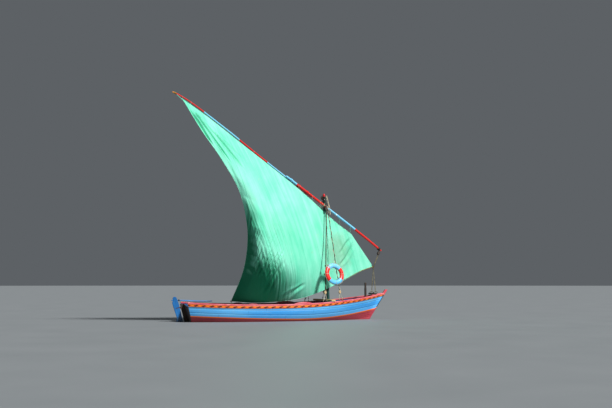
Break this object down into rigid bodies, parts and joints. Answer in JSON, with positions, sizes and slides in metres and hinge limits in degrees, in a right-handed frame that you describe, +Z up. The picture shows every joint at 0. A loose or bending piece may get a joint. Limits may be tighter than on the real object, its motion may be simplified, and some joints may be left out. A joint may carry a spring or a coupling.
{
  "type": "dhow sailing boat",
  "caption": "Open wooden dhow with a lateen sail on a long two-spar yard, a short raked mast, a hung rudder and a round-bilged plank-on-frame hull.",
  "frame": {"origin": "on the centreline at the waterline, amidships", "axes": "+X to the bow, +Y to port, +Z up"},
  "size_m": [8.483, 3.1159, 7.8391],
  "materials": {
    "bottom_paint": "matte crimson bottom paint over planking",
    "side_paint": "sky-blue house paint over planking",
    "strake_paint": "orange paint with dark lozenges",
    "rail_paint": "faded red paint",
    "weathered_wood": "bare weathered hardwood",
    "dark_wood": "oiled dark hardwood",
    "bare_wood": "pale bare wood",
    "rudder_paint": "deep-blue paint",
    "mast_paint": "dark green paint with a red head",
    "yard_paint": "gloss paint in red and pale-blue bands",
    "rope": "laid natural rope",
    "tarred_rope": "dark laid rope",
    "sailcloth": "thin mint-green cotton",
    "buoy_skin": "red and pale-blue ring",
    "iron": "rusty forged iron"
  },
  "bodies": {
    "hull": {"bottom_planking_port": "bottom_paint", "topside_planking_port": "side_paint", "rubbing_strake_port": "strake_paint", "gunwale_port": "rail_paint", "thole_pad_port_aft": "rail_paint", "thole_pad_port_fore": "rail_paint", "thwart_riser_port": "weathered_wood", "floorboard_port": "weathered_wood", "shroud_port_aft": "tarred_rope", "shroud_port_fore": "tarred_rope", "shroud_block_port_aft": "bare_wood", "shroud_block_port_fore": "bare_wood", "bottom_planking_starboard": "bottom_paint", "topside_planking_starboard": "side_paint", "rubbing_strake_starboard": "strake_paint", "gunwale_starboard": "rail_paint", "thole_pad_starboard_aft": "rail_paint", "thole_pad_starboard_fore": "rail_paint", "thwart_riser_starboard": "weathered_wood", "floorboard_starboard": "weathered_wood", "shroud_starboard_aft": "tarred_rope", "shroud_starboard_fore": "tarred_rope", "shroud_block_starboard_aft": "bare_wood", "shroud_block_starboard_fore": "bare_wood", "keel": "bottom_paint", "stem": "bottom_paint", "sternpost": "dark_wood", "foredeck": "dark_wood", "bow_beam": "dark_wood", "samson_post": "dark_wood", "transom": "weathered_wood", "frames_and_keelson": "weathered_wood", "floorboard_centre": "weathered_wood", "aft_thwart": "weathered_wood", "middle_thwart": "weathered_wood", "fore_thwart": "weathered_wood", "mast_step": "weathered_wood", "mast_beam": "bare_wood", "stern_seat": "rudder_paint", "mast": "mast_paint", "halyard": "rope", "lifebuoy": "buoy_skin", "gudgeon_upper": "iron", "gudgeon_lower": "iron"},
    "rudder": {"rudder_blade": "rudder_paint", "tiller": "rudder_paint", "pintle_upper": "iron", "pintle_lower": "iron"},
    "yard": {"yard_lower_spar": "yard_paint", "yard_upper_spar": "yard_paint", "yard_lashing_1": "rope", "yard_lashing_2": "rope", "yard_lashing_3": "rope", "parrel": "rope", "sail": "sailcloth"}
  },
  "joints": [
    {"name": "rudder_turn", "type": "hinge", "parent": "hull", "child": "rudder", "pos_m": [-3.6634, 0, 0.16], "axis": [-0.2562, 0, 0.9666], "range_deg": [-38, 38]},
    {"name": "yard_swing", "type": "hinge", "parent": "hull", "child": "yard", "pos_m": [1.50853, 0, 2], "axis": [-0.0402, 0, 0.9992], "range_deg": [-18, 14]}
  ]
}
